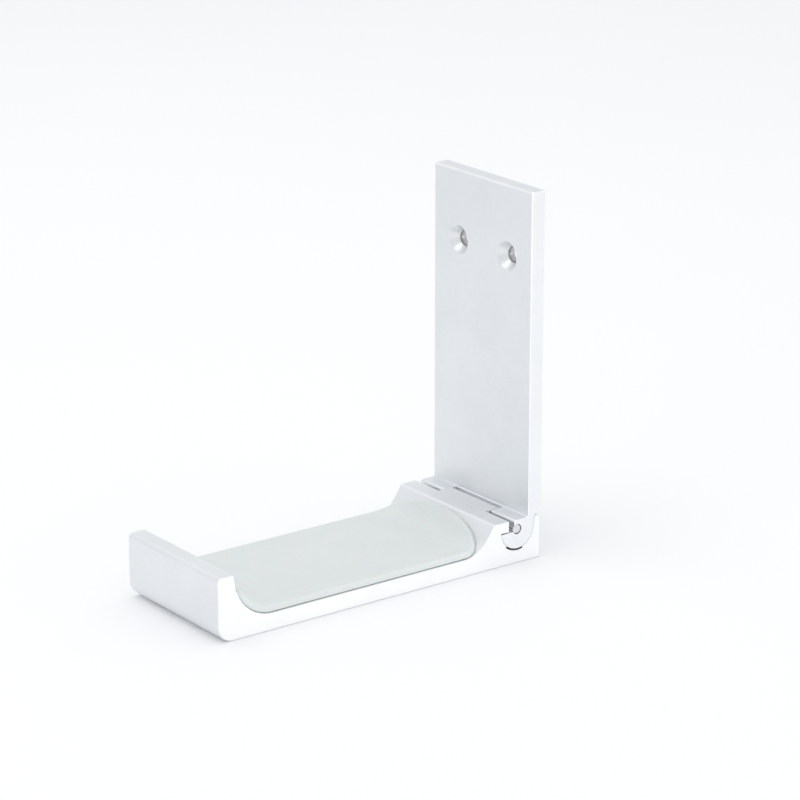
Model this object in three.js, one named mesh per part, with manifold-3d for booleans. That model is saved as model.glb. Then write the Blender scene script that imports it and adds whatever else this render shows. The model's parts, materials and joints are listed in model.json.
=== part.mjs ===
// Folding headphone hook.
//
// Frame (millimetres, +Z up): the origin lies on the wall face of the plate, midway between its two screw
// holes. +Y points into the wall, -Y out into the room, and X = 0 is the plane of symmetry.
//
// Side profiles are drawn about the hinge pin as (out, up): out is the distance in front of the pin, towards
// the room, and up is the height above it. Each profile is extruded across the hook, along X.

import * as THREE from 'three';
import { mergeVertices } from 'three/addons/utils/BufferGeometryUtils.js';
import Module from 'manifold-3d';

const wasm = await Module();
wasm.setup();

// ---------------------------------------------------------------- driving dimensions

const WIDTH = 38;                 // of the plate and of the arm
const EDGE_BREAK = 0.4;           // chamfer on the outer edges
const GAP = 0.25;                 // running clearance between the arm and the plate
const FIT = 0.1;                  // clearance of parts that rest on each other

// wall plate
const PLATE_THICKNESS = 4.1;
const PLATE_TOP = 17.75;          // above the screw holes
const TOP_CHAMFER = 0.6;          // on the plate's top front edge
const HOLE_SPACING = 19;
const HOLE_DIAMETER = 3.6;
const COUNTERSINK_DIAMETER = 7.5;

// hinge
const PIN_DROP = 66.9;            // pin axis below the screw holes
const PIN_OUT = 7.4;              // pin axis in front of the wall
const PIN_DIAMETER = 2.4;
const PIN_RECESS = 0.2;           // of each pin end inside its ear
const PIN_CHAMFER = 0.2;
const EAR_WIDTH = 9.5;
const EAR_RADIUS = 4.95;
const EAR_TOP = 2.5;              // above the pin
const EAR_FRONT = 1;              // in front of the pin, above the stop shoulder
const EAR_CORNER = 0.7;           // rounding of the ear's top front corner
const EAR_FILLET = 0.3;           // at the foot of the plate's front face
const EAR_SLANT = 0.19;           // lean of the ear's rear face away from the pin, in radians
const SHOULDER_DROP = 0.5;        // stop shoulder below the pin axis
const PLATE_BOTTOM = 2.8;         // bottom edge of the plate, above the pin
const APRON_OUT = 0.2;            // the apron between the ears, in front of the plate's front face
const APRON_THICKNESS = 0.9;
const APRON_BOTTOM = 1.5;         // above the pin

// bushes and friction washer
const BUSH_BORE = 2.7;
const BUSH_OUTSIDE = 3.7;
const KNUCKLE_BORE = 4;
const BUSH_LENGTH = 6;
const FLANGE_DIAMETER = 4.4;
const FLANGE_THICKNESS = 0.4;
const WASHER_OUTSIDE = 4.4;
const WASHER_BORE = 2.8;
const WASHER_THICKNESS = 0.2;
const WASHER_WAVE = 0.12;         // height of each wave above and below the middle
const WASHER_WAVES = 3;
const SEAT_DIAMETER = 4.7;        // counterbores in the knuckle's ends, for the flanges and the washer
const SEAT_RIGHT = 0.7;           // floor of the counterbore, from the right ear
const SEAT_LEFT = 1.2;            // and from the left ear, where the washer sits

// hook arm
const UNDERSIDE = -8.75;          // below the pin
const SADDLE = -4.4;              // top of the bare saddle
const ARM_REACH = 88.5;           // pin axis to the lip's outer face
const LIP_TOP = 7.45;
const LIP_THICKNESS = 4.6;        // at its top
const LIP_CHAMFER = 0.8;
const LIP_LEAN = 0.7;             // how far the lip's inner face leans in towards the saddle
const LIP_STEP = 0.5;             // height of the small step at the foot of that face
const NOSE_RADIUS = 4.2;          // lower front edge
const COVE_RADIUS = 10.5;
const COVE_START = 72.9;
const COVE_ANGLE = THREE.MathUtils.degToRad(71);
const SLOPE_RADIUS = 8;
const SLOPE_START = 16.2;
const SLOPE_ANGLE = THREE.MathUtils.degToRad(56);
const HUMP_TOP = 2.6;
const HUMP_ROUND = 1.2;           // of the hump's front edge
const KNUCKLE_RADIUS = 2.95;      // of the knuckle's upper rear, about the pin
const GROOVE_FLOOR = 1.2;         // groove for the apron, above the pin
const GROOVE_REAR = -4.3;
const HEEL_REAR = -7.1;
const HEEL_TOP = 2.5;
const HEEL_ROUND = 1.2;
const STOP_FACE = 2.65;           // rear face of the stop blocks, in front of the pin
const STOP_CLEARANCE = 0.3;       // stop blocks above the shoulder
const CRADLE_RELIEF = 0.25;       // deepening of the cradle below the ear
const RELIEF_FROM = THREE.MathUtils.degToRad(-108);
const RELIEF_TO = THREE.MathUtils.degToRad(-49);

// saddle pad
const PAD_INSET = 0.4;            // from the sides of the arm
const ADHESIVE_THICKNESS = 0.3;
const PAD_THICKNESS = 1.3;
const PAD_FRONT_ANGLE = THREE.MathUtils.degToRad(69);
const PAD_REAR_RISE = 10.6;       // length of the pad up the slope, measured along the surface
const PAD_END_CENTRE = 15.2;       // the rear end is half an ellipse in plan
const PAD_END_LENGTH = 7.6;

const ARC_STEP = THREE.MathUtils.degToRad(4);   // facets of the profile arcs
const ROUND_STEPS = 48;                         // facets round a bore or pin
const MERGE_DISTANCE = 1e-4;

const EAR_INNER = WIDTH / 2 - EAR_WIDTH;
const KNUCKLE_END = EAR_INNER - GAP;
const PLATE_FRONT = -(PIN_OUT - PLATE_THICKNESS);
const PLATE_BACK = -PIN_OUT;
const CRADLE_RADIUS = EAR_RADIUS + GAP;

// ---------------------------------------------------------------- outlines

function at(out, up) {
  return new THREE.Vector2(out, up);
}

// Points of a circular arc; angles run from the room side upwards.
function arc(out, up, radius, from, to) {
  const steps = Math.max(2, Math.ceil(Math.abs(to - from) / ARC_STEP));
  const points = [];
  for (let i = 0; i <= steps; i += 1) {
    const angle = from + ((to - from) * i) / steps;
    points.push(at(out + radius * Math.cos(angle), up + radius * Math.sin(angle)));
  }
  return points;
}

// Arc that rounds the corner between two straight edges.
function rounded(before, corner, after, radius) {
  const back = before.clone().sub(corner).normalize();
  const on = after.clone().sub(corner).normalize();
  const half = Math.acos(back.dot(on)) / 2;
  const centre = back.clone().add(on).setLength(radius / Math.sin(half)).add(corner);
  const start = back.clone().multiplyScalar(radius / Math.tan(half)).add(corner).sub(centre).angle();
  const turn = Math.sign(back.cross(on)) * (Math.PI - 2 * half);
  return arc(centre.x, centre.y, radius, start, start - turn);
}

// Closed outline through points and arcs in order, without repeating a point that two of them share.
function outlineOf(...pieces) {
  const points = [];
  for (const point of pieces.flat()) {
    if (points.length === 0 || points.at(-1).distanceTo(point) > MERGE_DISTANCE) {
      points.push(point);
    }
  }
  if (points.at(-1).distanceTo(points[0]) < MERGE_DISTANCE) {
    points.pop();
  }
  return new THREE.Shape(points);
}

// ---------------------------------------------------------------- solids

function toManifold(geometry) {
  const bare = geometry.clone();
  bare.deleteAttribute('normal');
  bare.deleteAttribute('uv');
  const merged = mergeVertices(bare, MERGE_DISTANCE);
  const corners = merged.index.array;
  const triangles = [];
  for (let i = 0; i < corners.length; i += 3) {
    const [a, b, c] = corners.slice(i, i + 3);
    if (a !== b && b !== c && c !== a) {
      triangles.push(a, b, c);
    }
  }
  const mesh = new wasm.Mesh({
    numProp: 3,
    vertProperties: new Float32Array(merged.attributes.position.array),
    triVerts: new Uint32Array(triangles),
  });
  return new wasm.Manifold(mesh);
}

function toGeometry(solid) {
  const { vertProperties, triVerts, numProp } = solid.getMesh();
  const geometry = new THREE.BufferGeometry();
  const positions = new Float32Array((vertProperties.length / numProp) * 3);
  for (let i = 0; i < positions.length / 3; i += 1) {
    for (let axis = 0; axis < 3; axis += 1) {
      positions[3 * i + axis] = vertProperties[numProp * i + axis];
    }
  }
  geometry.setAttribute('position', new THREE.BufferAttribute(positions, 3));
  geometry.setIndex(new THREE.BufferAttribute(new Uint32Array(triVerts), 1));
  geometry.computeVertexNormals();
  return geometry;
}

// Extrudes an (out, up) profile along X, from left to right, with its end edges chamfered by edge.
function across(profile, left, right, edge = 0) {
  const geometry = new THREE.ExtrudeGeometry(profile, {
    depth: right - left - 2 * edge,
    bevelEnabled: edge > 0,
    bevelThickness: edge,
    bevelSize: edge,
    bevelOffset: -edge,
    bevelSegments: 1,
  });
  const toHook = new THREE.Matrix4().makeBasis(
    new THREE.Vector3(0, -1, 0),
    new THREE.Vector3(0, 0, 1),
    new THREE.Vector3(-1, 0, 0),
  );
  geometry.applyMatrix4(toHook);
  geometry.translate(right - edge, 0, 0);
  return geometry;
}

// A solid of revolution about X from (radius, x) points, which start and end on the axis or close on
// themselves.
function turned(points) {
  const outline = points.map(([radius, x]) => new THREE.Vector2(radius, x));
  const geometry = new THREE.LatheGeometry(outline, ROUND_STEPS);
  geometry.rotateZ(-Math.PI / 2);
  return geometry;
}

function cylinderAlongX(radius, left, right) {
  return turned([[0, left], [radius, left], [radius, right], [0, right]]);
}

function ring(inner, outer, left, right) {
  return turned([[inner, left], [outer, left], [outer, right], [inner, right], [inner, left]]);
}

// ---------------------------------------------------------------- wall plate

function plateProfile() {
  const top = PIN_DROP + PLATE_TOP;
  return outlineOf(
    at(PLATE_BACK, PLATE_BOTTOM),
    at(PLATE_FRONT, PLATE_BOTTOM),
    at(PLATE_FRONT, top - TOP_CHAMFER),
    at(PLATE_FRONT - TOP_CHAMFER, top),
    at(PLATE_BACK, top),
  );
}

// Point at a height on the face that touches a circle about the pin and leans back by the ear's slant.
function slantedRear(radius, up) {
  return at(-(radius + up * Math.sin(EAR_SLANT)) / Math.cos(EAR_SLANT), up);
}

// The ear is round about the pin below, and has the stop shoulder cut into its upper front quarter.
function earProfile() {
  const shoulderOut = Math.sqrt(EAR_RADIUS ** 2 - SHOULDER_DROP ** 2);
  const shoulderAngle = Math.asin(SHOULDER_DROP / EAR_RADIUS);
  const lastFacet = (2 * EDGE_BREAK) / EAR_RADIUS;
  const overlapTop = PLATE_BOTTOM + 4;
  const corner = at(EAR_FRONT - EAR_CORNER, EAR_TOP - EAR_CORNER);
  const fillet = at(PLATE_FRONT + EAR_FILLET, EAR_TOP + EAR_FILLET);
  return outlineOf(
    arc(0, 0, EAR_RADIUS, -Math.PI + EAR_SLANT, -shoulderAngle - lastFacet),
    at(shoulderOut, -SHOULDER_DROP),
    at(EAR_FRONT, -SHOULDER_DROP),
    arc(corner.x, corner.y, EAR_CORNER, 0, Math.PI / 2),
    arc(fillet.x, fillet.y, EAR_FILLET, -Math.PI / 2, -Math.PI),
    at(PLATE_FRONT, overlapTop),
    slantedRear(EAR_RADIUS, overlapTop),
  );
}

// Between the ears the plate's foot reaches down in front as a thin apron, behind the knuckle.
function apronProfile() {
  const front = PLATE_FRONT + APRON_OUT;
  const fillet = at(PLATE_FRONT + EAR_FILLET, EAR_TOP + EAR_FILLET);
  const filletStart = -Math.PI / 2 - Math.asin((fillet.x - front) / EAR_FILLET);
  return outlineOf(
    at(front - APRON_THICKNESS, APRON_BOTTOM),
    at(front, APRON_BOTTOM),
    arc(fillet.x, fillet.y, EAR_FILLET, filletStart, -Math.PI),
    at(front - APRON_THICKNESS, fillet.y),
  );
}

// Tool for one countersunk hole, along Y from the front of the plate to its wall face.
function countersinkTool(x) {
  const sinkDepth = (COUNTERSINK_DIAMETER - HOLE_DIAMETER) / 2;
  const front = PIN_OUT + PLATE_FRONT;
  const beyond = 1;
  const tool = new THREE.LatheGeometry([
    new THREE.Vector2(0, -beyond),
    new THREE.Vector2(HOLE_DIAMETER / 2, -beyond),
    new THREE.Vector2(HOLE_DIAMETER / 2, front - sinkDepth),
    new THREE.Vector2(COUNTERSINK_DIAMETER / 2, front),
    new THREE.Vector2(COUNTERSINK_DIAMETER / 2 + beyond, front + beyond),
    new THREE.Vector2(0, front + beyond),
  ], ROUND_STEPS);
  tool.rotateX(Math.PI);
  tool.translate(x, PIN_OUT, PIN_DROP);
  return tool;
}

function wallPlate() {
  let solid = toManifold(across(plateProfile(), -WIDTH / 2, WIDTH / 2, EDGE_BREAK));
  const ears = [[-WIDTH / 2, -EAR_INNER], [EAR_INNER, WIDTH / 2]];
  for (const [left, right] of ears) {
    solid = solid.add(toManifold(across(earProfile(), left, right, EDGE_BREAK)));
  }
  solid = solid.add(toManifold(across(apronProfile(), -EAR_INNER - EDGE_BREAK, EAR_INNER + EDGE_BREAK)));
  solid = solid.subtract(toManifold(cylinderAlongX(PIN_DIAMETER / 2 + FIT, -WIDTH, WIDTH)));
  for (const side of [-1, 1]) {
    solid = solid.subtract(toManifold(countersinkTool(side * HOLE_SPACING / 2)));
  }
  return toGeometry(solid);
}

// ---------------------------------------------------------------- hook arm

// Ends of the two surface arcs of the saddle.
const COVE_END = {
  out: COVE_START + COVE_RADIUS * Math.sin(COVE_ANGLE),
  up: SADDLE + COVE_RADIUS * (1 - Math.cos(COVE_ANGLE)),
};
const SLOPE_END = {
  out: SLOPE_START - SLOPE_RADIUS * Math.sin(SLOPE_ANGLE),
  up: SADDLE + SLOPE_RADIUS * (1 - Math.cos(SLOPE_ANGLE)),
};

function armProfile() {
  const hump = at(SLOPE_END.out - (HUMP_TOP - SLOPE_END.up) / Math.tan(SLOPE_ANGLE), HUMP_TOP);
  const slopeEnd = at(SLOPE_END.out, SLOPE_END.up);
  const knuckleTop = Math.PI - Math.asin(HUMP_TOP / KNUCKLE_RADIUS);
  const knuckleFoot = Math.PI - Math.asin(GROOVE_FLOOR / KNUCKLE_RADIUS);
  const lipInner = ARM_REACH - LIP_THICKNESS;
  const down = -Math.PI / 2;
  return outlineOf(
    at(HEEL_REAR, UNDERSIDE + EDGE_BREAK),
    at(HEEL_REAR + EDGE_BREAK, UNDERSIDE),
    arc(ARM_REACH - NOSE_RADIUS, UNDERSIDE + NOSE_RADIUS, NOSE_RADIUS, down, 0),
    at(ARM_REACH, LIP_TOP - LIP_CHAMFER),
    at(ARM_REACH - LIP_CHAMFER, LIP_TOP),
    at(lipInner + EDGE_BREAK, LIP_TOP),
    at(lipInner, LIP_TOP - EDGE_BREAK),
    at(lipInner - LIP_LEAN, COVE_END.up + LIP_STEP),
    arc(COVE_START, SADDLE + COVE_RADIUS, COVE_RADIUS, down + COVE_ANGLE, down),
    arc(SLOPE_START, SADDLE + SLOPE_RADIUS, SLOPE_RADIUS, down, down - SLOPE_ANGLE),
    rounded(slopeEnd, hump, at(0, HUMP_TOP), HUMP_ROUND),
    arc(0, 0, KNUCKLE_RADIUS, knuckleTop, knuckleFoot),
    at(GROOVE_REAR, GROOVE_FLOOR),
    at(GROOVE_REAR, HEEL_TOP),
    arc(HEEL_REAR + HEEL_ROUND, HEEL_TOP - HEEL_ROUND, HEEL_ROUND, Math.PI / 2, Math.PI),
  );
}

// The pocket at each side that the ear turns in: a cradle round its lower half, open above, with the stop
// block left standing in front.
function cradleProfile() {
  const above = HUMP_TOP + 3;
  const blockBottom = STOP_CLEARANCE - SHOULDER_DROP;
  const blockAngle = Math.asin(blockBottom / CRADLE_RADIUS);
  return outlineOf(
    slantedRear(CRADLE_RADIUS, above),
    arc(0, 0, CRADLE_RADIUS, -Math.PI + EAR_SLANT, RELIEF_FROM),
    arc(0, 0, CRADLE_RADIUS + CRADLE_RELIEF, RELIEF_FROM, RELIEF_TO),
    arc(0, 0, CRADLE_RADIUS, RELIEF_TO, blockAngle),
    at(STOP_FACE, blockBottom),
    at(STOP_FACE, above),
  );
}

function hookArm() {
  const beyond = 2;
  let solid = toManifold(across(armProfile(), -WIDTH / 2, WIDTH / 2, EDGE_BREAK));
  solid = solid.subtract(toManifold(across(cradleProfile(), -WIDTH / 2 - beyond, -KNUCKLE_END)));
  solid = solid.subtract(toManifold(across(cradleProfile(), KNUCKLE_END, WIDTH / 2 + beyond)));
  solid = solid.subtract(toManifold(cylinderAlongX(KNUCKLE_BORE / 2, -EAR_INNER, EAR_INNER)));
  solid = solid.subtract(toManifold(cylinderAlongX(SEAT_DIAMETER / 2, -EAR_INNER, -EAR_INNER + SEAT_LEFT)));
  solid = solid.subtract(toManifold(cylinderAlongX(SEAT_DIAMETER / 2, EAR_INNER - SEAT_RIGHT, EAR_INNER)));
  return toGeometry(solid);
}

// ---------------------------------------------------------------- hinge pieces

function hingePin() {
  const radius = PIN_DIAMETER / 2;
  const end = WIDTH / 2 - PIN_RECESS;
  return turned([
    [0, -end],
    [radius - PIN_CHAMFER, -end],
    [radius, -end + PIN_CHAMFER],
    [radius, end - PIN_CHAMFER],
    [radius - PIN_CHAMFER, end],
    [0, end],
  ]);
}

// Flanged bush whose sleeve runs into the knuckle from its seat at x; side is +1 for the right one.
function hingeBush(x, side) {
  const points = [
    [BUSH_BORE / 2, x - side * BUSH_LENGTH],
    [BUSH_OUTSIDE / 2, x - side * BUSH_LENGTH],
    [BUSH_OUTSIDE / 2, x + side * FIT],
    [FLANGE_DIAMETER / 2, x + side * FIT],
    [FLANGE_DIAMETER / 2, x + side * (FIT + FLANGE_THICKNESS)],
    [BUSH_BORE / 2, x + side * (FIT + FLANGE_THICKNESS)],
    [BUSH_BORE / 2, x - side * BUSH_LENGTH],
  ];
  return turned(side > 0 ? points : points.reverse());
}

// Flat ring bent into three waves round the pin.
function waveWasher(x) {
  const geometry = toGeometry(toManifold(ring(
    WASHER_BORE / 2, WASHER_OUTSIDE / 2, x - WASHER_THICKNESS / 2, x + WASHER_THICKNESS / 2,
  )));
  const position = geometry.attributes.position;
  for (let i = 0; i < position.count; i += 1) {
    const angle = Math.atan2(position.getZ(i), position.getY(i));
    position.setX(i, position.getX(i) + WASHER_WAVE * Math.cos(WASHER_WAVES * angle));
  }
  geometry.computeVertexNormals();
  return geometry;
}

// ---------------------------------------------------------------- saddle pad

// A layer that lies on the saddle surface, from one offset above it to another.
function layerProfile(from, to) {
  const straightRise = PAD_REAR_RISE - SLOPE_RADIUS * SLOPE_ANGLE;
  const rearEnd = (offset) => at(
    SLOPE_END.out - straightRise * Math.cos(SLOPE_ANGLE) + offset * Math.sin(SLOPE_ANGLE),
    SLOPE_END.up + straightRise * Math.sin(SLOPE_ANGLE) + offset * Math.cos(SLOPE_ANGLE),
  );
  const down = -Math.PI / 2;
  const front = down + PAD_FRONT_ANGLE;
  const rear = down - SLOPE_ANGLE;
  const coveUp = SADDLE + COVE_RADIUS;
  const slopeUp = SADDLE + SLOPE_RADIUS;
  return outlineOf(
    rearEnd(from),
    arc(SLOPE_START, slopeUp, SLOPE_RADIUS - from, rear, down),
    arc(COVE_START, coveUp, COVE_RADIUS - from, down, front),
    arc(COVE_START, coveUp, COVE_RADIUS - to, front, down),
    arc(SLOPE_START, slopeUp, SLOPE_RADIUS - to, down, rear),
    rearEnd(to),
  );
}

// The pad's outline in plan, as a tall prism: straight sides, square front, half-elliptical rear end.
function padPrism(inset) {
  const half = WIDTH / 2 - inset;
  const height = 30;
  const rearEnd = arc(0, 0, 1, 0, Math.PI).map((point) => at(
    half * point.x,
    -PAD_END_CENTRE + PAD_END_LENGTH * point.y,
  ));
  const outline = outlineOf(at(half, -ARM_REACH), rearEnd, at(-half, -ARM_REACH));
  const prism = new THREE.ExtrudeGeometry(outline, { depth: height, bevelEnabled: false });
  prism.translate(0, 0, UNDERSIDE);
  return prism;
}

function padLayer(from, to, inset) {
  const half = WIDTH / 2 - inset;
  const strip = toManifold(across(layerProfile(from, to), -half - 1, half + 1));
  return toGeometry(strip.intersect(toManifold(padPrism(inset))));
}

// ---------------------------------------------------------------- assembly

function part(name, geometry, color, roughness, metalness) {
  const mesh = new THREE.Mesh(geometry, new THREE.MeshStandardMaterial({ color, roughness, metalness }));
  mesh.name = name;
  return mesh;
}

const ALUMINIUM = [0xd2d6da, 0.38, 1];
const STEEL = [0xb9bbbd, 0.3, 1];
const POLYMER = [0xe6e4dc, 0.5, 0];
const SILICONE = [0xc9cdcc, 0.75, 0];
const ADHESIVE = [0x55585a, 0.9, 0];

const washerX = -EAR_INNER + FIT + WASHER_WAVE + WASHER_THICKNESS / 2;
const adhesiveTop = FIT + ADHESIVE_THICKNESS;
const padFrom = adhesiveTop + FIT;

const fixedSide = new THREE.Group();
fixedSide.add(part('wall_plate', wallPlate(), ...ALUMINIUM));
fixedSide.add(part('hinge_pin', hingePin(), ...STEEL));
fixedSide.add(part('friction_washer', waveWasher(washerX), ...STEEL));

const arm = new THREE.Group();
arm.add(part('hook_arm', hookArm(), ...ALUMINIUM));
arm.add(part('hinge_bush_left', hingeBush(SEAT_LEFT - EAR_INNER, -1), ...POLYMER));
arm.add(part('hinge_bush_right', hingeBush(EAR_INNER - SEAT_RIGHT, 1), ...POLYMER));
arm.add(part('pad_adhesive', padLayer(FIT, adhesiveTop, PAD_INSET), ...ADHESIVE));
arm.add(part('saddle_pad', padLayer(padFrom, padFrom + PAD_THICKNESS, PAD_INSET), ...SILICONE));

// Both groups are drawn about the pin, which sits in front of the wall and below the screw holes.
const group = new THREE.Group();
for (const side of [fixedSide, arm]) {
  side.position.set(0, -PIN_OUT, -PIN_DROP);
  group.add(side);
}

export default group;
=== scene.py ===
"""Folding headphone hook: the looks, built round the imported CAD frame.

Sizes here are in millimetres, and place() turns them into points of the frame, in metres. Side profiles
are drawn about the hinge pin as (out, up): out towards the room, and up above the pin. They run across the
hook, along X.
"""

import json
import math

import bmesh
import bpy
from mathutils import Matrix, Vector


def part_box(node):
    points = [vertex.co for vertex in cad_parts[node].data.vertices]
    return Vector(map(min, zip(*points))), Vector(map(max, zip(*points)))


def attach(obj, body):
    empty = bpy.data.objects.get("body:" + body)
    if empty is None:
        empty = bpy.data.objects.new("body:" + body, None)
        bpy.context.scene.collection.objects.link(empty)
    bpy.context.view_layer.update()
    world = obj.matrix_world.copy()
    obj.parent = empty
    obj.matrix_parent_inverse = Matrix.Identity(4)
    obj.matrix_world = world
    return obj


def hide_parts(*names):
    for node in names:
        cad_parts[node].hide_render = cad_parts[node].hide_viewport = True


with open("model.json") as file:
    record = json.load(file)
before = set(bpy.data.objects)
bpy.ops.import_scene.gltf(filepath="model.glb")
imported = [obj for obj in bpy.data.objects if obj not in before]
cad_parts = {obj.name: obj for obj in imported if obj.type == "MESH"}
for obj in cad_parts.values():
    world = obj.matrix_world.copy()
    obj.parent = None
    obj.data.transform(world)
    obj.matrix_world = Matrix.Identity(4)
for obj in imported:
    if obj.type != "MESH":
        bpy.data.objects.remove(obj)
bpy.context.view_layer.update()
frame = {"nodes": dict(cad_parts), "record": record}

# ---------------------------------------------------------------- sizes

MM = 0.001
HINGE = Vector(frame["record"]["behaviour"]["joints"][0]["pos_m"]) / MM
PLATE_LOW, PLATE_HIGH = (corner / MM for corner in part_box("wall_plate"))
ARM_LOW, ARM_HIGH = (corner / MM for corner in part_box("hook_arm"))
FLOOR = ARM_LOW.z

# Wall plate
HALF_WIDTH = PLATE_HIGH.x
PLATE_BACK = HINGE.y             # the wall is at y = 0
PLATE_THICKNESS = 4.1
PLATE_FRONT = PLATE_BACK + PLATE_THICKNESS
PLATE_TOP = PLATE_HIGH.z - HINGE.z
PLATE_BOTTOM = 2.8               # of the wall face, above the pin
FOOT_TOP = 4.8                   # below it the plate's edges are eased more finely

# Screw holes. An eased edge is a pair of distances from the sharp corner: across the hole, and along it.
HOLE_OFFSET = 9.5
HOLE_RADIUS = 1.8
COUNTERSINK_RADIUS = 3.75
WALL_BREAK = (0.5, 0.2)
THROAT_BREAK = (0.05, 0.05)
THROAT_RISE = 0.03
RIM_BREAK = (0.14, 0.14)
RIM_MIDDLE = (0.03, 0.05)
RIM_FLARE = (0.15, 0.03)
OVERRUN = 1.0                    # of a cutting tool past the metal

# Hinge ears, and the apron between them
EAR_INNER = 9.5                  # x of the ears' inner sides
EAR_RADIUS = 4.95                # about the pin
EAR_TOP = 2.5
EAR_FRONT = 1.0                  # the face above the stop shoulder
EAR_CORNER = 0.7                 # rounds the top front corner
EAR_FILLET = 0.3                 # between the top and the plate's front
EAR_SLANT = 0.19                 # of the rear face, in radians
SHOULDER = -0.5                  # the face that stops the arm
SHOULDER_EASE = math.radians(6)  # the ear's round side ends this far below the shoulder's corner
APRON_FRONT = PLATE_FRONT + 0.2
APRON_REAR = APRON_FRONT - 0.9
APRON_BOTTOM = 1.5
PIN_HOLE_RADIUS = 1.3
PIN_HOLE_BREAK = 0.1
PIN_HOLE_FLARE = (0.25, 0.15)

# Hook arm
UNDERSIDE = ARM_LOW.z - HINGE.z
SADDLE = -4.4                    # the flat of the saddle
ARM_REACH = HINGE.y - ARM_LOW.y
LIP_TOP = ARM_HIGH.z - HINGE.z
LIP_THICKNESS = 4.6
LIP_CHAMFER = 0.8                # along the lip's top front edge
LIP_LEAN = 0.7                   # of the lip's inner face, from top to foot
LIP_STEP = 0.5                   # from the inner face's foot down to the cove
NOSE_RADIUS = 4.2                # under the lip
COVE_RADIUS = 10.5               # from the saddle up to the lip
COVE_START = 72.9
COVE_ANGLE = math.radians(71)
SLOPE_RADIUS = 8.0               # from the saddle up to the hump
SLOPE_START = 16.2
SLOPE_ANGLE = math.radians(56)
HUMP_TOP = 2.6
HUMP_ROUND = 1.2                 # rounds the hump's front edge

# Knuckle, and the pocket that the ears turn in
KNUCKLE_END = 9.38               # x of the knuckle's sides
KNUCKLE_RADIUS = 2.95
KNUCKLE_BORE = 2.0               # radius of the bore for the bushes
SEAT_RADIUS = 2.35               # of the sunk seats for the bush flanges
SEAT_LEFT = -8.3                 # x of the seats' floors
SEAT_RIGHT = 8.8
GROOVE_FLOOR = 1.2               # the groove leaves room for the apron
GROOVE_REAR = -4.3
HEEL_REAR = HINGE.y - ARM_HIGH.y
HEEL_TOP = 2.5
HEEL_ROUND = 1.2
STOP_FACE = 2.65                 # the stop blocks face the ears
STOP_BOTTOM = -0.2
CRADLE_RADIUS = 5.0              # about the pin
RELIEF_RADIUS = 5.42             # the deeper stretch under the ears
RELIEF_FROM = math.radians(-108)
RELIEF_TO = math.radians(-49)

# Saddle pad, and the film under it
PAD_HALF_WIDTH = 18.6
PAD_BASE = 0.13
PAD_TOP = 1.75                   # above the metal, as the other heights are
PAD_ROUND = 0.5
PAD_FOOT_ROUND = 0.18
PAD_FOOT_MIDDLE = (0.04, 0.05)   # of the foot's rounding: in from the side, and above the base
PAD_FRONT = math.radians(69)     # how far the pad climbs the cove
PAD_REAR_START = 1.0             # where the half-round end starts
PAD_REAR_LENGTH = 10.1
PAD_FRONT_CORNER = 1.2
FILM_INSET = 0.2
FILM_BASE = 0.02
FILM_TOP = 0.15

# Roundings of the metal's edges
TOP_ROUND = 0.5
EDGE_ROUND = 0.24
FINE_ROUND = 0.12
POCKET_ROUND = 0.1
SHARP_EDGE = math.radians(24)    # edges that turn less are part of a curve
SIDE_NORMAL = 0.99               # faces whose normal has more of X are the hook's sides
NEAR = 0.2                       # an edge's middle may lie this far off a line and still belong to it
SAME_PLACE = 0.01                # points closer than this are at the same place along X

# Fineness of the meshes
ARC_STEP = math.radians(3)
LATHE_STEPS = 96
EDGE_SEGMENTS = 3
PAD_REAR_STEPS = 120
PAD_CORNER_STEPS = 12
PAD_EDGE_STEPS = 6
PAD_BENT_STEP = 0.45             # between the cuts that let a layer bend
PAD_FLAT_STEP = 3.0
PAD_FIRST_STEP = 0.4
PAD_BEND_MARGIN = 1.0            # the fine cuts go on this far into the flat stretch

# Angles of a profile, and directions of the frame
UP = math.pi / 2
DOWN = -math.pi / 2
ALONG = Vector((1, 0, 0))
OUTWARD = Vector((0, -1, 0))
INWARD = Vector((0, 1, 0))


def place(x, out, up):
    """A point of a side profile, in the frame."""
    return Vector((x, HINGE.y - out, HINGE.z + up)) * MM


def arc(out, up, radius, start, end, steps=None):
    """Points of a round stretch, both ends included."""
    steps = steps or max(2, math.ceil(abs(end - start) / ARC_STEP))
    angles = [start + (end - start) * i / steps for i in range(steps + 1)]
    return [(out + radius * math.cos(a), up + radius * math.sin(a)) for a in angles]


def rounded(before, corner, after, radius):
    """Arc that rounds the corner between two straight edges."""
    before, corner, after = (Vector(point) for point in (before, corner, after))
    back = (before - corner).normalized()
    on = (after - corner).normalized()
    half = back.angle(on) / 2
    centre = corner + (back + on).normalized() * radius / math.sin(half)
    spoke = corner + back * radius / math.tan(half) - centre
    start = math.atan2(spoke.y, spoke.x)
    turn = math.copysign(math.pi - 2 * half, back.x * on.y - back.y * on.x)
    return arc(centre.x, centre.y, radius, start, start - turn)


def slanted_rear(radius, up):
    """Point at a height on the face that leans by the ear's slant and touches a circle about the pin."""
    return -(radius + up * math.sin(EAR_SLANT)) / math.cos(EAR_SLANT), up


# ---------------------------------------------------------------- materials

WHITE = (1.0, 1.0, 1.0)
NOISE_RANGE = (0.3, 0.7)         # a noise's values lie mostly in it


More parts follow.
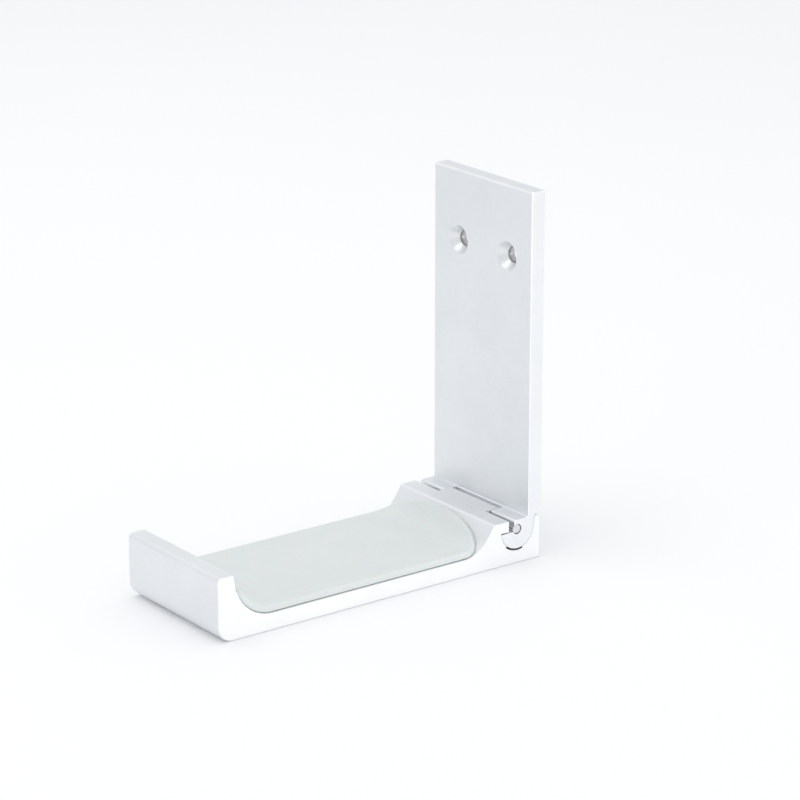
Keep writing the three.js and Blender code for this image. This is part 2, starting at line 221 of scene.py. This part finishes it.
class Nodes:
    """A material's node tree, with short ways to add a node and to join two sockets."""

    def __init__(self, name):
        self.material = bpy.data.materials.new(name)
        self.material.use_nodes = True
        self.tree = self.material.node_tree
        self.shader = self.tree.nodes["Principled BSDF"]
        self.place = self.add("ShaderNodeTexCoord").outputs["Object"]

    def add(self, kind, **values):
        node = self.tree.nodes.new(kind)
        for key, value in values.items():
            setattr(node, key, value)
        return node

    def join(self, source, target):
        self.tree.links.new(source, target)

    def set(self, **values):
        for key, value in values.items():
            self.shader.inputs[key.replace("_", " ")].default_value = value

    def noise(self, scale, detail=4.0, roughness=0.55, stretch=None):
        node = self.add("ShaderNodeTexNoise")
        node.inputs["Scale"].default_value = scale
        node.inputs["Detail"].default_value = detail
        node.inputs["Roughness"].default_value = roughness
        source = self.place
        if stretch is not None:
            mapping = self.add("ShaderNodeMapping")
            mapping.inputs["Scale"].default_value = stretch
            self.join(source, mapping.inputs["Vector"])
            source = mapping.outputs["Vector"]
        self.join(source, node.inputs["Vector"])
        return node.outputs["Fac"]

    def cells(self, scale):
        node = self.add("ShaderNodeTexVoronoi", feature="SMOOTH_F1")
        node.inputs["Scale"].default_value = scale
        self.join(self.place, node.inputs["Vector"])
        return node.outputs["Distance"]

    def ramp(self, source, stops):
        node = self.add("ShaderNodeValToRGB")
        for element, (position, colour) in zip(node.color_ramp.elements, stops):
            element.position = position
            element.color = (*colour, 1.0)
        self.join(source, node.inputs["Fac"])
        return node.outputs["Color"]

    def multiply(self, first, second):
        node = self.add("ShaderNodeMix", data_type="RGBA", blend_type="MULTIPLY")
        node.inputs["Factor"].default_value = 1.0
        self.join(first, node.inputs["A"])
        self.join(second, node.inputs["B"])
        return node.outputs["Result"]

    def remap(self, source, old, new):
        node = self.add("ShaderNodeMapRange")
        for label, value in zip(("From Min", "From Max", "To Min", "To Max"), (*old, *new)):
            node.inputs[label].default_value = value
        self.join(source, node.inputs["Value"])
        return node.outputs["Result"]

    def height(self, low, high):
        """0 at the height low and below, 1 at the height high and above, in millimetres."""
        parts = self.add("ShaderNodeSeparateXYZ")
        self.join(self.place, parts.inputs["Vector"])
        return self.remap(parts.outputs["Z"], (low * MM, high * MM), (0.0, 1.0))

    def bump(self, source, strength, depth, normal=None):
        """Relief up to depth millimetres high, on top of another relief if there is one."""
        node = self.add("ShaderNodeBump")
        node.inputs["Strength"].default_value = strength
        node.inputs["Distance"].default_value = depth * MM
        self.join(source, node.inputs["Height"])
        if normal is not None:
            self.join(normal, node.inputs["Normal"])
        return node.outputs["Normal"]

    def complete(self, colour, roughness, wander, gloss, normal):
        """Joins the colour and the relief, and lets the roughness wander with the gloss noise."""
        low, high = wander
        spread = self.remap(gloss, NOISE_RANGE, (roughness + low, roughness + high))
        self.join(colour, self.shader.inputs["Base Color"])
        self.join(spread, self.shader.inputs["Roughness"])
        self.join(normal, self.shader.inputs["Normal"])
        return self.material


def shaded(colour, share):
    return tuple(channel * share for channel in colour)


def blasted_aluminium(name, colour, roughness, top_shade_share=1.0):
    """Bead-blasted, clear anodised: a fine frosted grain, with broad faint clouds in tone and gloss. Its
    tone falls towards the plate's top, to the given share of itself there: painted shade, darker towards
    the top."""
    nodes = Nodes(name)
    nodes.set(Metallic=1.0)
    clouds = nodes.noise(scale=55.0, detail=3.0)
    tone = nodes.ramp(clouds, [(0.35, shaded(colour, 0.975)), (0.65, shaded(colour, 1.01))])
    speckle = nodes.noise(scale=5200.0, detail=2.0)
    flecks = nodes.ramp(speckle, [(0.4, shaded(WHITE, 0.965)), (0.6, WHITE)])
    # painted shade: the tone darkens towards the plate's top
    level = nodes.height(PLATE_LOW.z, PLATE_HIGH.z)
    painted_top_shade = nodes.ramp(level, [(0.0, WHITE), (1.0, shaded(WHITE, top_shade_share))])
    coarse = nodes.bump(nodes.noise(scale=3400.0, detail=3.0), strength=0.22, depth=0.02)
    fine = nodes.bump(nodes.noise(scale=9000.0, detail=2.0), strength=0.18, depth=0.01, normal=coarse)
    base = nodes.multiply(nodes.multiply(tone, flecks), painted_top_shade)
    return nodes.complete(base, roughness, (-0.03, 0.04), nodes.noise(scale=900.0, detail=3.0), fine)


def cut_aluminium(name, colour, roughness):
    """Edges, countersinks and bores, cut after blasting: smoother, with faint tool lines."""
    nodes = Nodes(name)
    nodes.set(Metallic=1.0)
    wear = nodes.ramp(nodes.noise(scale=260.0), [(0.35, shaded(colour, 0.96)), (0.6, colour)])
    lines = nodes.noise(scale=1500.0, detail=2.0, stretch=(1.0, 0.08, 0.08))
    relief = nodes.bump(lines, strength=0.12, depth=0.01)
    return nodes.complete(wear, roughness, (-0.05, 0.05), nodes.noise(scale=700.0), relief)


def steel(name, colour, roughness):
    """Ground steel: fine lines round the pin's axis and small stains."""
    nodes = Nodes(name)
    nodes.set(Metallic=1.0)
    stains = nodes.ramp(nodes.noise(scale=800.0), [(0.35, shaded(colour, 0.85)), (0.65, colour)])
    lines = nodes.noise(scale=6000.0, detail=2.0, stretch=(1.0, 0.15, 0.15))
    relief = nodes.bump(lines, strength=0.25, depth=0.01)
    return nodes.complete(stains, roughness, (-0.06, 0.08), nodes.noise(scale=2000.0), relief)


def moulded_plastic(name, colour, roughness):
    """Moulded acetal: an even tone with a faint flow mottle and a fine spark-eroded skin."""
    nodes = Nodes(name)
    tone = nodes.ramp(nodes.noise(scale=300.0), [(0.35, shaded(colour, 0.94)), (0.65, colour)])
    relief = nodes.bump(nodes.noise(scale=4000.0), strength=0.2, depth=0.01)
    return nodes.complete(tone, roughness, (-0.06, 0.06), nodes.noise(scale=2500.0), relief)


def silicone(name, colour, roughness):
    """Matte moulded silicone: a satin skin with a fine leather-like texture, dust and a soft glow at its
    edges."""
    nodes = Nodes(name)
    nodes.set(Sheen_Weight=0.12, Sheen_Roughness=0.4, Subsurface_Weight=0.15, Subsurface_Scale=0.0008)
    clouds = nodes.noise(scale=45.0, detail=3.0)
    tone = nodes.ramp(clouds, [(0.3, shaded(colour, 0.97)), (0.7, shaded(colour, 1.015))])
    specks = nodes.noise(scale=2600.0, detail=3.0)
    dust = nodes.ramp(specks, [(0.35, (0.96, 0.965, 0.96)), (0.62, WHITE)])
    pores = nodes.bump(nodes.cells(scale=3000.0), strength=0.2, depth=0.02)
    skin = nodes.bump(nodes.noise(scale=1500.0), strength=0.15, depth=0.03, normal=pores)
    base = nodes.multiply(tone, dust)
    return nodes.complete(base, roughness, (-0.05, 0.05), nodes.noise(scale=600.0), skin)


def dark_film(name, colour, roughness):
    """Foam film: blotches where it was pressed, over a fine open foam."""
    nodes = Nodes(name)
    tone = nodes.ramp(nodes.noise(scale=1800.0), [(0.3, shaded(colour, 0.7)), (0.7, shaded(colour, 1.2))])
    relief = nodes.bump(nodes.noise(scale=5000.0), strength=0.3, depth=0.02)
    return nodes.complete(tone, roughness, (-0.08, 0.08), nodes.noise(scale=900.0), relief)


def floor_paper(name):
    """Pale studio paper, with a broad unevenness that is hardly seen."""
    nodes = Nodes(name)
    nodes.set(Roughness=0.8, Specular_IOR_Level=0.2)
    tone = nodes.ramp(nodes.noise(scale=3.0), [(0.4, (0.955, 0.96, 0.965)), (0.6, (0.965, 0.97, 0.975))])
    nodes.join(tone, nodes.shader.inputs["Base Color"])
    return nodes.material


# The plate's front faces carry a faint painted shade towards the plate's top.
ALUMINIUM = blasted_aluminium("aluminium_blasted", (0.852, 0.872, 0.892), 0.5, top_shade_share=0.96)
# The plate's side faces: a copy of the aluminium with stronger painted shade towards the top.
PLATE_SIDE_SHADED = blasted_aluminium("aluminium_sawn_plate_painted_shade", (0.86, 0.87, 0.885), 0.46, top_shade_share=0.885)
ARM_ALUMINIUM = blasted_aluminium("aluminium_blasted_arm", (0.855, 0.87, 0.885), 0.5)
# The arm's side faces: a lighter copy of the arm's aluminium, painted light on the faces that look along X.
ARM_SIDE_PAINTED_LIGHT = blasted_aluminium("aluminium_sawn_arm_painted_light", (0.93, 0.935, 0.94), 0.46)
# Cut edges and bores: a lighter tone, part the bare cut metal and part painted highlight along the plate's
# bevels.
ALUMINIUM_CUT_AND_HIGHLIGHT = cut_aluminium("aluminium_cut_painted_highlight", (0.95, 0.955, 0.96), 0.32)
COUNTERSINK = cut_aluminium("aluminium_countersunk", (0.82, 0.83, 0.84), 0.34)
# Painted shade: the screw holes' bore walls are darkened to stand for the shade deep inside them.
BORE_PAINTED_SHADE = cut_aluminium("aluminium_drilled_painted_shade", (0.5, 0.5, 0.51), 0.36)
PIN_STEEL = steel("steel_ground", (0.78, 0.79, 0.8), 0.28)
SPRING_STEEL = steel("steel_spring", (0.5, 0.5, 0.5), 0.32)
ACETAL = moulded_plastic("acetal_moulded", (0.8, 0.79, 0.75), 0.45)
SILICONE = silicone("silicone_matte", (0.73, 0.765, 0.755), 0.6)
# The film's grey is its own dark tone and also paints the shade line under the pad's edge.
FILM_AND_SHADE_LINE = dark_film("adhesive_film_and_painted_shade", (0.42, 0.43, 0.43), 0.7)

# ---------------------------------------------------------------- meshes


def new_object(name, bm, materials):
    """Makes an object of a mesh in the making, with its faces pointing out."""
    mesh = bpy.data.meshes.new(name)
    bmesh.ops.recalc_face_normals(bm, faces=bm.faces)
    bm.to_mesh(mesh)
    bm.free()
    for material in materials:
        mesh.materials.append(material)
    mesh.polygons.foreach_set("use_smooth", [True] * len(mesh.polygons))
    obj = bpy.data.objects.new(name, mesh)
    bpy.context.scene.collection.objects.link(obj)
    return obj


def settle(obj):
    """Applies the object's modifiers."""
    graph = bpy.context.evaluated_depsgraph_get()
    graph.update()
    mesh = bpy.data.meshes.new_from_object(
        obj.evaluated_get(graph), preserve_all_data_layers=True, depsgraph=graph
    )
    old = obj.data
    obj.modifiers.clear()
    obj.data = mesh
    bpy.data.meshes.remove(old)
    mesh.name = obj.name


def lathe(name, points, origin, line, across, materials, inner=0.0):
    """Turns (radius, along) points, which start and end on the line through origin. across is a direction
    square to the line. Faces no further from the line than inner take the second material."""
    bm = bmesh.new()
    side = Vector((0, 0, 1))
    rings = []
    for radius, along in points:
        centre = origin + line * along
        if radius == 0:
            rings.append([bm.verts.new(centre * MM)])
            continue
        ring = []
        for i in range(LATHE_STEPS):
            angle = 2 * math.pi * i / LATHE_STEPS
            spoke = side * math.cos(angle) + across * math.sin(angle)
            ring.append(bm.verts.new((centre + radius * spoke) * MM))
        rings.append(ring)
    for first, second, start, end in zip(rings, rings[1:], points, points[1:]):
        index = int(max(start[0], end[0]) <= inner)
        for i in range(LATHE_STEPS):
            j = (i + 1) % LATHE_STEPS
            corners = [
                first[i % len(first)],
                first[j % len(first)],
                second[j % len(second)],
                second[i % len(second)],
            ]
            bm.faces.new(list(dict.fromkeys(corners))).material_index = index
    return new_object(name, bm, materials)


def slab_solid(name, common, outer, middle, stations, rounding, materials, edge_index):
    """One solid of three slabs across X. All share the common path. The outer two close with the outer
    path, and the middle one with the middle path. rounding(edge, turn) gives an edge's rounding."""
    bm = bmesh.new()
    columns = {}

    def vertex(point, column):
        key = (round(point[0], 6), round(point[1], 6), column)
        if key not in columns:
            columns[key] = bm.verts.new(place(stations[column], *point))
        return columns[key]

    def wall(path, first, second):
        for a, b in zip(path, path[1:]):
            bm.faces.new([vertex(a, first), vertex(b, first), vertex(b, second), vertex(a, second)])

    start, end = common[-1], common[0]
    outer = [start, *outer, end]
    middle = [start, *middle, end]
    for first in range(3):
        wall(common, first, first + 1)
    wall(outer, 0, 1)
    wall(outer, 2, 3)
    wall(middle, 1, 2)
    for column in (0, 3):
        bm.faces.new([vertex(p, column) for p in common + outer[1:-1]])
    for column in (1, 2):
        bm.faces.new([vertex(p, column) for p in outer + middle[-2:0:-1]])
    bmesh.ops.recalc_face_normals(bm, faces=bm.faces)
    weights = bm.edges.layers.float.new("bevel_weight_edge")
    for edge in bm.edges:
        turn = edge.calc_face_angle_signed(0.0)
        if abs(turn) > SHARP_EDGE:
            edge[weights] = rounding(edge, turn) / TOP_ROUND
    obj = new_object(name, bm, materials)
    bevel = obj.modifiers.new("round", "BEVEL")
    bevel.limit_method = "WEIGHT"
    bevel.width = TOP_ROUND * MM
    bevel.segments = EDGE_SEGMENTS
    bevel.use_clamp_overlap = False
    bevel.material = edge_index
    bevel.miter_outer = "MITER_SHARP"
    settle(obj)
    return obj


def finish_sides(obj, index):
    """Gives the flat faces that look along X the material at index."""
    # So the plate's sides take its copy with painted shade, and the arm's sides its copy with painted
    # light.
    for face in obj.data.polygons:
        if abs(face.normal.x) > SIDE_NORMAL:
            face.material_index = index


def drill(obj, tools):
    """Cuts the tools out of the object. The cut faces keep the tools' materials."""
    for tool in tools:
        cut = obj.modifiers.new("cut", "BOOLEAN")
        cut.operation = "DIFFERENCE"
        cut.solver = "EXACT"
        cut.object = tool
        cut.material_mode = "TRANSFER"
    settle(obj)
    for tool in tools:
        bpy.data.objects.remove(tool)


def smooth(obj, angle=35):
    """Smooth shading that leaves flat faces flat and true corners sharp."""
    obj.data.polygons.foreach_set("use_smooth", [True] * len(obj.data.polygons))
    obj.data.set_sharp_from_angle(angle=math.radians(angle))
    weighted = obj.modifiers.new("normals", "WEIGHTED_NORMAL")
    weighted.keep_sharp = True
    weighted.weight = 60
    settle(obj)


def edge_span(edge):
    """(out, up) of an edge's middle, about the pin, and whether it runs along X."""
    a, b = (v.co / MM for v in edge.verts)
    middle = (a + b) / 2
    return HINGE.y - middle.y, middle.z - HINGE.z, abs(a.x - b.x) > SAME_PLACE


# ---------------------------------------------------------------- wall plate


def plate_rounding(edge, turn):
    """The top front edge is rounded most, and inner corners stay sharp."""
    out, up, along = edge_span(edge)
    if turn < 0:
        return 0.0
    if up < FOOT_TOP:
        return FINE_ROUND
    if along and out > PLATE_BACK + PLATE_THICKNESS / 2:
        return TOP_ROUND
    return EDGE_ROUND


def countersink_profile():
    """(radius, depth from the wall) of a screw hole, with its edges eased."""
    throat = PLATE_THICKNESS - (COUNTERSINK_RADIUS - HOLE_RADIUS)
    return [
        (0, -OVERRUN),
        (HOLE_RADIUS + WALL_BREAK[0], -OVERRUN),
        (HOLE_RADIUS, WALL_BREAK[1]),
        (HOLE_RADIUS, throat - THROAT_BREAK[1]),
        (HOLE_RADIUS + THROAT_BREAK[0], throat + THROAT_RISE),
        (COUNTERSINK_RADIUS - RIM_BREAK[0], PLATE_THICKNESS - RIM_BREAK[1]),
        (COUNTERSINK_RADIUS - RIM_MIDDLE[0], PLATE_THICKNESS - RIM_MIDDLE[1]),
        (COUNTERSINK_RADIUS + RIM_FLARE[0], PLATE_THICKNESS + RIM_FLARE[1]),
        (COUNTERSINK_RADIUS + RIM_FLARE[0], PLATE_THICKNESS + OVERRUN),
        (0, PLATE_THICKNESS + OVERRUN),
    ]


def pin_hole_profile(side):
    """(radius, x) of the pin's hole in one ear, with its mouth eased. side is 1 for right, -1 for left."""
    inner = EAR_INNER - OVERRUN
    mouth = HALF_WIDTH + PIN_HOLE_FLARE[1]
    points = [
        (0, inner),
        (PIN_HOLE_RADIUS, inner),
        (PIN_HOLE_RADIUS, HALF_WIDTH - PIN_HOLE_BREAK),
        (PIN_HOLE_RADIUS + PIN_HOLE_FLARE[0], mouth),
        (0, mouth),
    ]
    return [(radius, side * x) for radius, x in points][::side]


def make_plate():
    fillet = (PLATE_FRONT + EAR_FILLET, EAR_TOP + EAR_FILLET)
    apron_angle = DOWN - math.asin((fillet[0] - APRON_FRONT) / EAR_FILLET)
    shoulder_angle = math.asin(-SHOULDER / EAR_RADIUS)
    shoulder_out = EAR_RADIUS * math.cos(shoulder_angle)
    common = [
        *arc(*fillet, EAR_FILLET, apron_angle, -math.pi),
        (PLATE_FRONT, PLATE_TOP),
        (PLATE_BACK, PLATE_TOP),
        (PLATE_BACK, PLATE_BOTTOM),
        slanted_rear(EAR_RADIUS, PLATE_BOTTOM),
    ]
    corner = (EAR_FRONT - EAR_CORNER, EAR_TOP - EAR_CORNER)
    ear = [
        *arc(0, 0, EAR_RADIUS, -math.pi + EAR_SLANT, -shoulder_angle - SHOULDER_EASE),
        (shoulder_out, SHOULDER),
        (EAR_FRONT, SHOULDER),
        *arc(*corner, EAR_CORNER, 0, UP),
        *arc(*fillet, EAR_FILLET, DOWN, apron_angle)[:-1],
    ]
    apron = [(APRON_REAR, PLATE_BOTTOM), (APRON_REAR, APRON_BOTTOM), (APRON_FRONT, APRON_BOTTOM)]
    stations = (-HALF_WIDTH, -EAR_INNER, EAR_INNER, HALF_WIDTH)
    # The plate's bevels take the cut aluminium, whose light tone also paints the highlight along its edges.
    plate = slab_solid("plate_body", common, ear, apron, stations, plate_rounding,
                       [ALUMINIUM, PLATE_SIDE_SHADED, ALUMINIUM_CUT_AND_HIGHLIGHT], 2)
    finish_sides(plate, 1)

    tools = []
    for side in (-1, 1):
        wall = Vector((side * HOLE_OFFSET, 0, 0))
        # The bore faces of each screw hole take the material with painted shade.
        tools.append(lathe(
            "countersink", countersink_profile(), wall, OUTWARD, ALONG, [COUNTERSINK, BORE_PAINTED_SHADE], HOLE_RADIUS
        ))
        tools.append(lathe("pin_hole", pin_hole_profile(side), HINGE, ALONG, INWARD, [ALUMINIUM_CUT_AND_HIGHLIGHT]))
    drill(plate, tools)
    smooth(plate)
    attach(plate, "wall_plate")
    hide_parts("wall_plate")


# ---------------------------------------------------------------- hook arm

COVE_END = (
    COVE_START + COVE_RADIUS * math.sin(COVE_ANGLE),
    SADDLE + COVE_RADIUS * (1 - math.cos(COVE_ANGLE)),
)
SLOPE_END = (
    SLOPE_START - SLOPE_RADIUS * math.sin(SLOPE_ANGLE),
    SADDLE + SLOPE_RADIUS * (1 - math.cos(SLOPE_ANGLE)),
)


def arm_rounding(edge, turn):
    """The pocket and the lip's foot are eased finely, and inner corners stay sharp."""
    out, up, along = edge_span(edge)
    if turn < 0:
        return 0.0
    if math.hypot(out, up) < RELIEF_RADIUS + NEAR:
        return POCKET_ROUND
    if along and abs(up - COVE_END[1]) < LIP_STEP + NEAR and out > COVE_START:
        return FINE_ROUND
    return EDGE_ROUND


def make_arm():
    hump = (SLOPE_END[0] - (HUMP_TOP - SLOPE_END[1]) / math.tan(SLOPE_ANGLE), HUMP_TOP)
    lip_inner = ARM_REACH - LIP_THICKNESS
    common = [
        slanted_rear(CRADLE_RADIUS, HEEL_TOP),
        *arc(HEEL_REAR + HEEL_ROUND, HEEL_TOP - HEEL_ROUND, HEEL_ROUND, UP, math.pi),
        (HEEL_REAR, UNDERSIDE),
        *arc(ARM_REACH - NOSE_RADIUS, UNDERSIDE + NOSE_RADIUS, NOSE_RADIUS, DOWN, 0),
        (ARM_REACH, LIP_TOP - LIP_CHAMFER),
        (ARM_REACH - LIP_CHAMFER, LIP_TOP),
        (lip_inner, LIP_TOP),
        (lip_inner - LIP_LEAN, COVE_END[1] + LIP_STEP),
        *arc(COVE_START, SADDLE + COVE_RADIUS, COVE_RADIUS, DOWN + COVE_ANGLE, DOWN),
        *arc(SLOPE_START, SADDLE + SLOPE_RADIUS, SLOPE_RADIUS, DOWN, DOWN - SLOPE_ANGLE),
        *rounded(SLOPE_END, hump, (0, HUMP_TOP), HUMP_ROUND),
        (STOP_FACE, HUMP_TOP),
    ]
    block_angle = math.asin(STOP_BOTTOM / CRADLE_RADIUS)
    pocket = [
        (STOP_FACE, STOP_BOTTOM),
        *arc(0, 0, CRADLE_RADIUS, block_angle, RELIEF_TO),
        *arc(0, 0, RELIEF_RADIUS, RELIEF_TO, RELIEF_FROM),
        *arc(0, 0, CRADLE_RADIUS, RELIEF_FROM, -math.pi + EAR_SLANT),
    ]
    knuckle = [math.pi - math.asin(up / KNUCKLE_RADIUS) for up in (HUMP_TOP, GROOVE_FLOOR)]
    top = [
        *arc(0, 0, KNUCKLE_RADIUS, *knuckle),
        (GROOVE_REAR, GROOVE_FLOOR),
        (GROOVE_REAR, HEEL_TOP),
    ]
    stations = (-HALF_WIDTH, -KNUCKLE_END, KNUCKLE_END, HALF_WIDTH)
    arm = slab_solid("arm_body", common, pocket, top, stations, arm_rounding,
                     [ARM_ALUMINIUM, ARM_SIDE_PAINTED_LIGHT], 0)
    finish_sides(arm, 1)
    bore = [
        (0, -EAR_INNER),
        (SEAT_RADIUS, -EAR_INNER),
        (SEAT_RADIUS, SEAT_LEFT),
        (KNUCKLE_BORE, SEAT_LEFT),
        (KNUCKLE_BORE, SEAT_RIGHT),
        (SEAT_RADIUS, SEAT_RIGHT),
        (SEAT_RADIUS, EAR_INNER),
        (0, EAR_INNER),
    ]
    drill(arm, [lathe("bore", bore, HINGE, ALONG, INWARD, [ALUMINIUM_CUT_AND_HIGHLIGHT])])
    smooth(arm)
    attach(arm, "hook_arm")
    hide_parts("hook_arm")


# ---------------------------------------------------------------- saddle pad


def saddle_point(along, height):
    """(out, up) at a length along the saddle's surface and at a height above the metal. The length is 0
    where the rear slope starts, and grows up the slope."""
    flat = SLOPE_START - COVE_START
    if along < flat:
        angle = (flat - along) / COVE_RADIUS
        reach = COVE_RADIUS - height
        return COVE_START + reach * math.sin(angle), SADDLE + COVE_RADIUS - reach * math.cos(angle)
    if along < 0:
        return SLOPE_START - along, SADDLE + height
    angle = min(along / SLOPE_RADIUS, SLOPE_ANGLE)
    reach = SLOPE_RADIUS - height
    straight = max(0.0, along - SLOPE_RADIUS * SLOPE_ANGLE)
    return (
        SLOPE_START - reach * math.sin(angle) - straight * math.cos(angle),
        SADDLE + SLOPE_RADIUS - reach * math.cos(angle) + straight * math.sin(angle),
    )


def pad_outline():
    """(x, along) points round the pad, laid flat, with an outward normal for each."""
    corner = PAD_FRONT_CORNER
    side = PAD_HALF_WIDTH - corner
    front = SLOPE_START - COVE_START - COVE_RADIUS * PAD_FRONT + corner
    turns = [math.pi * i / PAD_REAR_STEPS for i in range(PAD_REAR_STEPS + 1)]
    points = [
        *arc(side, front, corner, DOWN, 0.0, PAD_CORNER_STEPS),
        *[(PAD_HALF_WIDTH * math.cos(a), PAD_REAR_START + PAD_REAR_LENGTH * math.sin(a)) for a in turns],
        *arc(-side, front, corner, -math.pi, DOWN, PAD_CORNER_STEPS),
    ]
    normals = []
    for i in range(len(points)):
        before, after = points[i - 1], points[(i + 1) % len(points)]
        tangent = Vector((after[0] - before[0], after[1] - before[1])).normalized()
        normals.append(Vector((tangent.y, -tangent.x)))
    return points, normals


def layer(name, section, material):
    """A layer bent onto the saddle. section is (inset, height) points, from the bottom face up and over."""
    points, normals = pad_outline()
    bm = bmesh.new()
    loops = []
    for inset, height in section:
        loops.append([
            bm.verts.new((p[0] - n.x * inset, p[1] - n.y * inset, height)) for p, n in zip(points, normals)
        ])
    for lower, upper in zip(loops, loops[1:]):
        for i in range(len(points)):
            j = (i + 1) % len(points)
            bm.faces.new([lower[i], lower[j], upper[j], upper[i]])
    bm.faces.new(loops[0][::-1])
    bm.faces.new(loops[-1])
    station = min(p[1] for p in points) + PAD_FIRST_STEP
    rear = max(p[1] for p in points)
    while station < rear:
        geometry = bm.verts[:] + bm.edges[:] + bm.faces[:]
        bmesh.ops.bisect_plane(bm, geom=geometry, plane_co=(0, station, 0), plane_no=(0, 1, 0))
        flat = SLOPE_START - COVE_START + PAD_BEND_MARGIN <= station <= -PAD_BEND_MARGIN
        station += PAD_FLAT_STEP if flat else PAD_BENT_STEP
    for vertex in bm.verts:
        x, along, height = vertex.co
        vertex.co = place(x, *saddle_point(along, height))
    return new_object(name, bm, [material])


def make_pad():
    turns = [UP * i / PAD_EDGE_STEPS for i in range(PAD_EDGE_STEPS, -1, -1)]
    section = [
        (PAD_FOOT_ROUND, PAD_BASE),
        (PAD_FOOT_MIDDLE[0], PAD_BASE + PAD_FOOT_MIDDLE[1]),
        (0.0, PAD_BASE + PAD_FOOT_ROUND),
        *[(PAD_ROUND * (1 - math.sin(a)), PAD_TOP - PAD_ROUND * (1 - math.cos(a))) for a in turns],
    ]
    pad = layer("pad_body", section, SILICONE)
    smooth(pad, angle=60)
    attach(pad, "hook_arm")
    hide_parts("saddle_pad")

    film = layer("pad_film", [(FILM_INSET, FILM_BASE), (FILM_INSET, FILM_TOP)], FILM_AND_SHADE_LINE)
    smooth(film)
    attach(film, "hook_arm")
    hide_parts("pad_adhesive")


make_plate()
make_arm()
make_pad()

for node, material in (
    ("hinge_pin", PIN_STEEL),
    ("friction_washer", SPRING_STEEL),
    ("hinge_bush_left", ACETAL),
    ("hinge_bush_right", ACETAL),
):
    for material_slot in frame["nodes"][node].material_slots:
        material_slot.material = material

# ---------------------------------------------------------------- floor, light and camera

CAMERA_AZIMUTH = math.radians(53.12)
CAMERA_ELEVATION = math.radians(18.12)
CAMERA_DISTANCE = 798.0
CAMERA_TARGET = Vector((1.52, -30.34, -33.58))
CAMERA_LENS = 148.15
CAMERA_SENSOR = 36.0
CAMERA_CLIP = (0.01, 50.0)

FLOOR_SIZE = 6000.0
FLOOR_CELLS = 24
FLOOR_GAP = 0.02                 # below the arm's underside

WORLD_COLOUR = (0.975, 0.985, 1.0)
WORLD_STRENGTH = 0.895


def make_floor():
    bm = bmesh.new()
    bmesh.ops.create_grid(bm, x_segments=FLOOR_CELLS, y_segments=FLOOR_CELLS, size=FLOOR_SIZE * MM)
    bmesh.ops.translate(bm, verts=bm.verts, vec=Vector((0, 0, FLOOR - FLOOR_GAP)) * MM)
    floor = new_object("floor", bm, [floor_paper("floor_paper")])


def make_light(name, where, aim, size, power):
    light = bpy.data.lights.new(name, "AREA")
    light.shape = "RECTANGLE"
    light.size, light.size_y = (side * MM for side in size)
    light.energy = power
    obj = bpy.data.objects.new(name, light)
    obj.location = Vector(where) * MM
    obj.rotation_mode = "QUATERNION"
    obj.rotation_quaternion = (Vector(aim) - Vector(where)).to_track_quat("-Z", "Y")
    bpy.context.scene.collection.objects.link(obj)


def make_world():
    world = bpy.data.worlds.new("studio")
    world.use_nodes = True
    background = world.node_tree.nodes["Background"]
    background.inputs["Color"].default_value = (*WORLD_COLOUR, 1.0)
    background.inputs["Strength"].default_value = WORLD_STRENGTH
    bpy.context.scene.world = world


def make_camera():
    camera = bpy.data.cameras.new("camera")
    camera.lens = CAMERA_LENS
    camera.sensor_width = CAMERA_SENSOR
    camera.clip_start, camera.clip_end = CAMERA_CLIP
    back = Vector((
        math.sin(CAMERA_AZIMUTH) * math.cos(CAMERA_ELEVATION),
        -math.cos(CAMERA_AZIMUTH) * math.cos(CAMERA_ELEVATION),
        math.sin(CAMERA_ELEVATION),
    ))
    obj = bpy.data.objects.new("camera", camera)
    obj.location = (CAMERA_TARGET + back * CAMERA_DISTANCE) * MM
    obj.rotation_mode = "QUATERNION"
    obj.rotation_quaternion = (-back).to_track_quat("-Z", "Y")
    bpy.context.scene.collection.objects.link(obj)
    bpy.context.scene.camera = obj


make_floor()
make_world()
make_light("side_panel", where=(900, 150, -10), aim=(0, -40, -50), size=(900, 120), power=1.4)
make_light("top_panel", where=(-100, -200, 900), aim=(0, -40, -30), size=(900, 900), power=1.9)
make_camera()
bpy.context.scene.view_settings.view_transform = "Standard"
